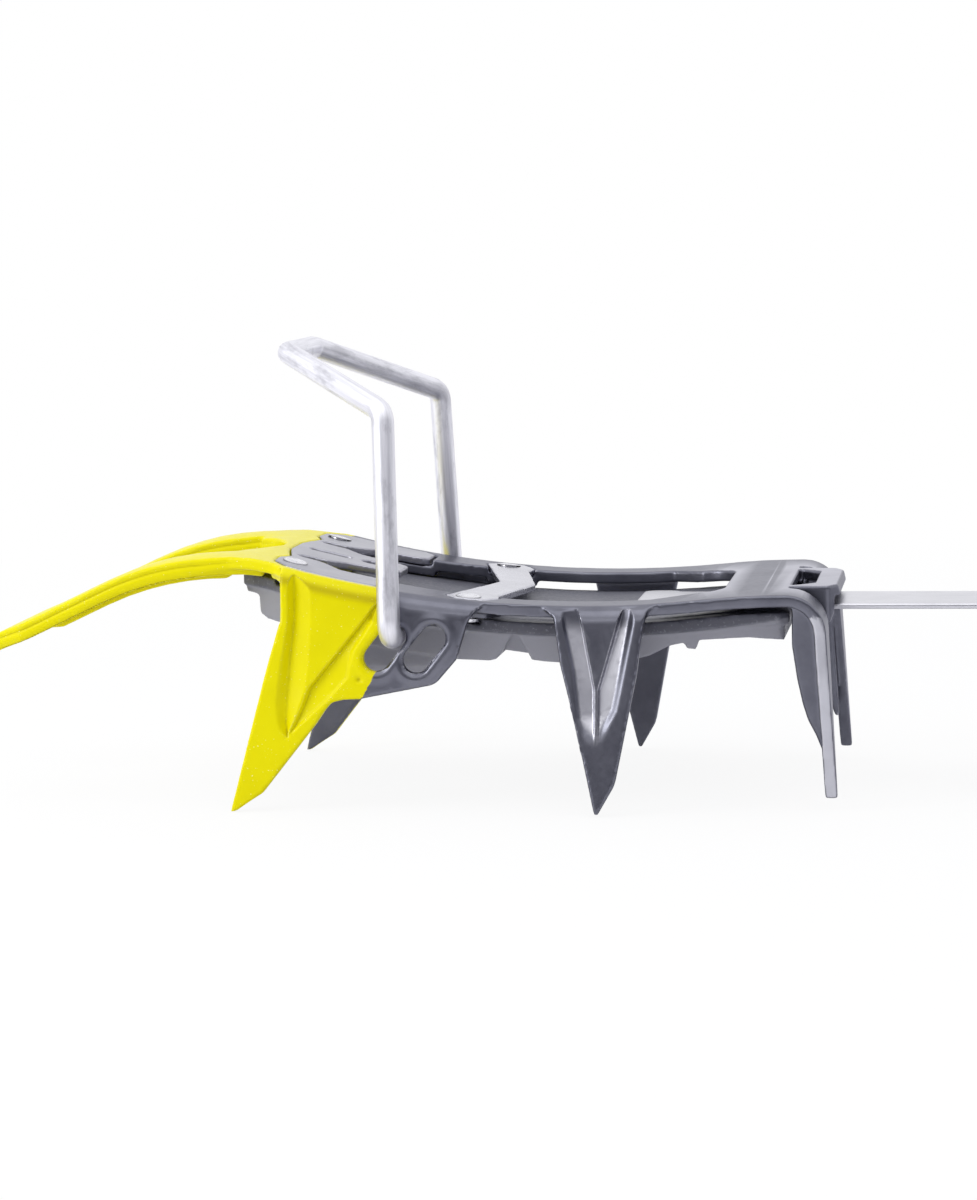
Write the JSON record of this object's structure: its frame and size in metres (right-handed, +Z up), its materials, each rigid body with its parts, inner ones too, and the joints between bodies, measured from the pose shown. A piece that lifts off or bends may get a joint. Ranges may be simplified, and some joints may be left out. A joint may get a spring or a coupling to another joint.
{
  "type": "mountaineering crampon",
  "caption": "Strapless climbing crampon: stamped steel front section with arched front points and a wire toe bail, flat linking bar, and heel section with an adjustable bail lever.",
  "frame": {"origin": "on the ground under the middle of the overall box, at the level of the point tips", "axes": "+X towards the heel, along the boot; +Y to the boot's left; +Z up, out of the sole"},
  "size_m": [0.39, 0.1, 0.1296],
  "materials": {
    "coated_steel": "satin lemon yellow powder coat on the front points, bare grey steel behind",
    "bare_steel": "satin blue-grey steel with bright edges",
    "bright_steel": "plated, smooth",
    "bail_wire": "satin stainless wire",
    "spring_steel": "satin spring steel",
    "snow_plate_plastic": "dark grey soft plastic",
    "lever_plastic": "dark hard plastic",
    "brass": "machined"
  },
  "bodies": {
    "front_section": {"front_frame": "coated_steel", "toe_plate": "bare_steel", "toe_rivets": "bright_steel", "cross_brace": "bare_steel", "brace_rivets": "bright_steel", "front_snow_plate": "snow_plate_plastic", "linking_bar": "spring_steel"},
    "toe_bail": {"toe_bail": "bail_wire"},
    "heel_section": {"heel_frame": "bare_steel", "bar_sleeve": "bare_steel", "sleeve_rivets": "bright_steel", "lock_pin": "bright_steel", "heel_snow_plate": "snow_plate_plastic"},
    "lock_lever": {"lock_lever": "spring_steel"},
    "heel_bail": {"heel_bail": "bail_wire"},
    "screw_block": {"screw_block": "brass"},
    "heel_lever": {"heel_lever": "lever_plastic", "welt_hook": "bare_steel", "hook_rivets": "bright_steel"},
    "adjuster": {"adjusting_screw": "bright_steel", "thumbwheel": "lever_plastic"}
  },
  "joints": [
    {"name": "toe_bail_hinge", "type": "hinge", "parent": "front_section", "child": "toe_bail", "pos_m": [-0.0976, 0, 0.0384], "axis": [0, 1, 0], "range_deg": [-52, 75]},
    {"name": "length_slide", "type": "slide", "parent": "front_section", "child": "heel_section", "axis": [1, 0, 0], "range_m": [-0.018, 0.036]},
    {"name": "lock_hinge", "type": "hinge", "parent": "heel_section", "child": "lock_lever", "pos_m": [0.07, 0, 0.0357], "axis": [0, -1, 0], "range_deg": [0, 16]},
    {"name": "heel_bail_hinge", "type": "hinge", "parent": "heel_section", "child": "heel_bail", "pos_m": [0.124, 0, 0.038], "axis": [0, 1, 0], "range_deg": [-30, 35]},
    {"name": "heel_lever_hinge", "type": "hinge", "parent": "heel_bail", "child": "screw_block", "pos_m": [0.18025, 0, 0.082], "axis": [0, 1, 0], "range_deg": [0, 110]},
    {"name": "lever_height", "type": "slide", "parent": "screw_block", "child": "heel_lever", "axis": [-0.1392, 0, 0.9903], "range_m": [-0.004, 0.004]},
    {"name": "adjuster_turn", "type": "hinge", "parent": "heel_lever", "child": "adjuster", "pos_m": [0.1871, 0, 0.083], "axis": [-0.1392, 0, 0.9903], "range_deg": [-720, 720]}
  ],
  "couplings": [
    {"joint": "adjuster_turn", "follows": "lever_height", "rad_per_m": 3141.5}
  ]
}
